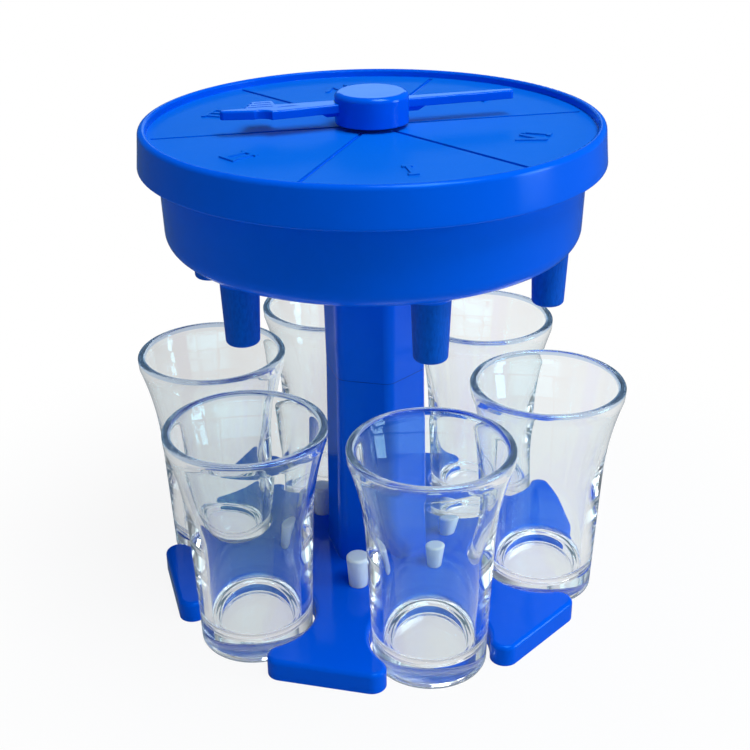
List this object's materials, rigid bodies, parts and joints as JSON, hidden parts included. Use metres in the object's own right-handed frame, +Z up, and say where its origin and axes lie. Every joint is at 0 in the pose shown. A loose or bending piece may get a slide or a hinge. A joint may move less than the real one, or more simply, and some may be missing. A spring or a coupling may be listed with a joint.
{
  "type": "party shot dispenser",
  "caption": "Covered round tray with spouts on a post above an armed base, filling a ring of clear shot cups by gravity, with a numbered dial lid and a spinner.",
  "frame": {"origin": "on the table, under the middle of the post", "axes": "+Z up along the post; -Y towards cup_1; the base's arms stand every 60 degrees from +X"},
  "size_m": [0.151, 0.1666, 0.1684],
  "materials": {
    "blue_plastic": "gloss",
    "clear_plastic": "clear gloss",
    "silicone": "satin",
    "steel": "satin"
  },
  "bodies": {
    "base_body": {"base": "blue_plastic"},
    "tray_body": {"tray": "blue_plastic"},
    "lid_body": {"lid": "blue_plastic"},
    "spinner_body": {"spinner": "blue_plastic", "spinner_washer": "steel", "spinner_screw": "steel"},
    "cup_1_body": {"cup_1": "clear_plastic"},
    "cup_2_body": {"cup_2": "clear_plastic"},
    "cup_3_body": {"cup_3": "clear_plastic"},
    "cup_4_body": {"cup_4": "clear_plastic"},
    "cup_5_body": {"cup_5": "clear_plastic"},
    "cup_6_body": {"cup_6": "clear_plastic"},
    "plug_1_body": {"plug_1": "silicone"},
    "plug_2_body": {"plug_2": "silicone"},
    "plug_3_body": {"plug_3": "silicone"},
    "plug_4_body": {"plug_4": "silicone"},
    "plug_5_body": {"plug_5": "silicone"},
    "plug_6_body": {"plug_6": "silicone"}
  },
  "joints": [
    {"name": "tray_lift", "type": "slide", "parent": "base_body", "child": "tray_body", "axis": [0, 0, 1], "range_m": [0, 0.06]},
    {"name": "lid_lift", "type": "slide", "parent": "tray_body", "child": "lid_body", "axis": [0, 0, 1], "range_m": [0, 0.04]},
    {"name": "spinner_spin", "type": "hinge", "parent": "lid_body", "child": "spinner_body", "pos_m": [0, 0, 0.1592], "axis": [0, 0, 1], "continuous": true},
    {"name": "cup_1_lift", "type": "slide", "parent": "base_body", "child": "cup_1_body", "axis": [0, 0, 1], "range_m": [0, 0.045]},
    {"name": "cup_2_lift", "type": "slide", "parent": "base_body", "child": "cup_2_body", "axis": [0, 0, 1], "range_m": [0, 0.045]},
    {"name": "cup_3_lift", "type": "slide", "parent": "base_body", "child": "cup_3_body", "axis": [0, 0, 1], "range_m": [0, 0.045]},
    {"name": "cup_4_lift", "type": "slide", "parent": "base_body", "child": "cup_4_body", "axis": [0, 0, 1], "range_m": [0, 0.045]},
    {"name": "cup_5_lift", "type": "slide", "parent": "base_body", "child": "cup_5_body", "axis": [0, 0, 1], "range_m": [0, 0.045]},
    {"name": "cup_6_lift", "type": "slide", "parent": "base_body", "child": "cup_6_body", "axis": [0, 0, 1], "range_m": [0, 0.045]},
    {"name": "plug_1_pull", "type": "slide", "parent": "base_body", "child": "plug_1_body", "axis": [0, 0, 1], "range_m": [0, 0.03]},
    {"name": "plug_2_pull", "type": "slide", "parent": "base_body", "child": "plug_2_body", "axis": [0, 0, 1], "range_m": [0, 0.03]},
    {"name": "plug_3_pull", "type": "slide", "parent": "base_body", "child": "plug_3_body", "axis": [0, 0, 1], "range_m": [0, 0.03]},
    {"name": "plug_4_pull", "type": "slide", "parent": "base_body", "child": "plug_4_body", "axis": [0, 0, 1], "range_m": [0, 0.03]},
    {"name": "plug_5_pull", "type": "slide", "parent": "base_body", "child": "plug_5_body", "axis": [0, 0, 1], "range_m": [0, 0.03]},
    {"name": "plug_6_pull", "type": "slide", "parent": "base_body", "child": "plug_6_body", "axis": [0, 0, 1], "range_m": [0, 0.03]}
  ]
}
